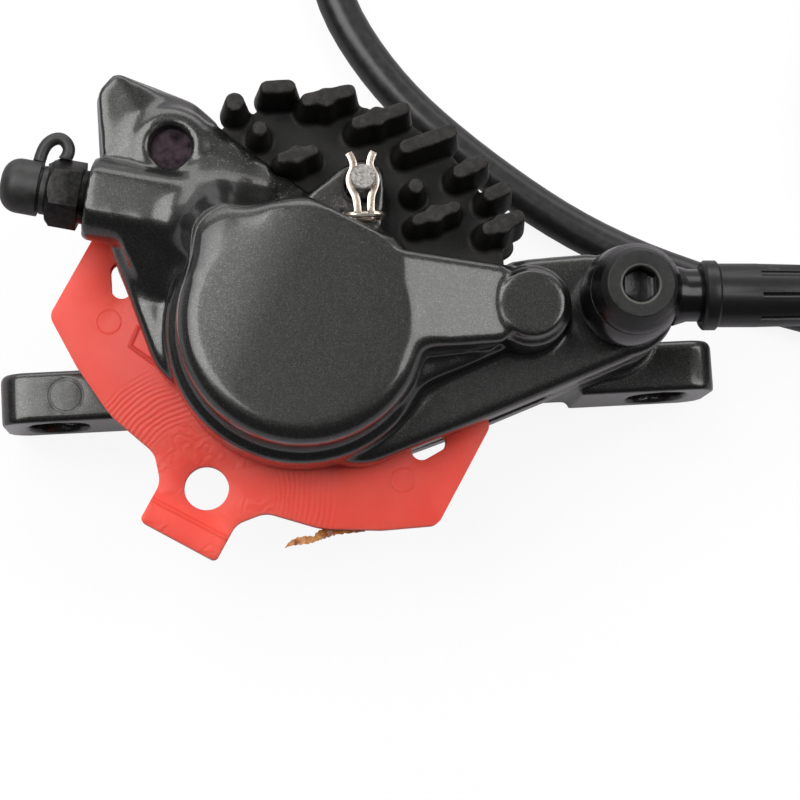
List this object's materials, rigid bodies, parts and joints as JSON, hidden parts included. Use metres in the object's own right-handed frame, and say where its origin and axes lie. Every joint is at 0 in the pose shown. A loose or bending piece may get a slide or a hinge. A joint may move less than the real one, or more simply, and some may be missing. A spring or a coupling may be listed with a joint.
{
  "type": "hydraulic disc brake caliper",
  "caption": "Hydraulic disc brake caliper for a bicycle, with finned pads, a transport spacer between them, a bleed nipple and a hose.",
  "frame": {"origin": "on the mounting seat face, half way between the two lug slots, at the middle of the lugs' depth", "axes": "+X along the line of the lugs towards the hose, +Y away from the mounting seat, +Z along the piston axis away from the floor that the caliper lies on"},
  "size_m": [0.1681, 0.1136, 0.0403],
  "materials": {
    "body_paint": "dark charcoal metallic paint under a clear gloss coat",
    "dark_bolt_steel": "dark anodised-looking bolt steel",
    "seal_rubber": "black sealing rubber",
    "piston_ceramic": "pale ceramic",
    "pad_steel": "plated steel",
    "pad_friction": "sintered friction lining",
    "fin_black": "matt black coating with dust on the tips",
    "spring_steel": "spring steel",
    "pin_steel": "grit-blasted steel",
    "clip_steel": "warm, pale plated spring wire",
    "nipple_black": "black plated",
    "cap_rubber": "satin black rubber",
    "banjo_black": "gloss black anodised",
    "boot_plastic": "gloss black, with scuffed flute edges",
    "hose_plastic": "satin black sheath",
    "nut_steel": "black plated",
    "olive_brass": "bare brass",
    "insert_steel": "bare steel",
    "spacer_red": "semi-matt red-orange moulding with flow marks",
    "tape_amber": "thin amber film"
  },
  "bodies": {
    "caliper": {"caliper_front_half": "body_paint", "caliper_rear_half": "body_paint", "body_bolt_left": "dark_bolt_steel", "body_bolt_right": "dark_bolt_steel", "transfer_port_seal": "seal_rubber", "piston_seal_front": "seal_rubber", "piston_seal_rear": "seal_rubber", "pad_return_spring": "spring_steel", "pad_pin": "pin_steel", "pin_clip": "clip_steel", "banjo": "banjo_black", "banjo_bolt": "banjo_black", "hose_seal_lower": "seal_rubber", "hose_seal_upper": "seal_rubber", "hose_boot": "boot_plastic", "hose_tube": "hose_plastic", "hose_coil": "hose_plastic", "hose_tail": "hose_plastic", "connector_nut": "nut_steel", "connector_olive": "olive_brass", "connector_insert": "insert_steel"},
    "piston_front": {"piston_front": "piston_ceramic"},
    "piston_rear": {"piston_rear": "piston_ceramic"},
    "pad_front": {"pad_plate_front": "pad_steel", "pad_friction_front": "pad_friction", "cooling_fin_front": "fin_black"},
    "pad_rear": {"pad_plate_rear": "pad_steel", "pad_friction_rear": "pad_friction", "cooling_fin_rear": "fin_black"},
    "spacer": {"pad_spacer": "spacer_red", "tape_scrap": "tape_amber"},
    "bleed_screw": {"bleed_nipple": "nipple_black", "bleed_cap": "cap_rubber"}
  },
  "joints": [
    {"name": "piston_front_slide", "type": "slide", "parent": "caliper", "child": "piston_front", "axis": [0, 0, -1], "range_m": [0, 0.0005], "deforming": ["pad_return_spring"]},
    {"name": "piston_rear_slide", "type": "slide", "parent": "caliper", "child": "piston_rear", "axis": [0, 0, 1], "range_m": [0, 0.0005]},
    {"name": "pad_front_slide", "type": "slide", "parent": "caliper", "child": "pad_front", "axis": [0, 0, -1], "range_m": [0, 0.0005]},
    {"name": "pad_rear_slide", "type": "slide", "parent": "caliper", "child": "pad_rear", "axis": [0, 0, 1], "range_m": [0, 0.0005]},
    {"name": "spacer_pull", "type": "slide", "parent": "caliper", "child": "spacer", "axis": [-0.521, -0.8536, 0], "range_m": [0, 0.05]},
    {"name": "bleed_screw_turn", "type": "hinge", "parent": "caliper", "child": "bleed_screw", "pos_m": [-0.03101, 0.0237, 0.022], "axis": [-0.9744, 0.225, 0], "range_deg": [0, 90]}
  ],
  "couplings": [
    {"joint": "piston_rear_slide", "follows": "piston_front_slide", "ratio": 1},
    {"joint": "pad_front_slide", "follows": "piston_front_slide", "ratio": 1},
    {"joint": "pad_rear_slide", "follows": "piston_front_slide", "ratio": 1}
  ]
}
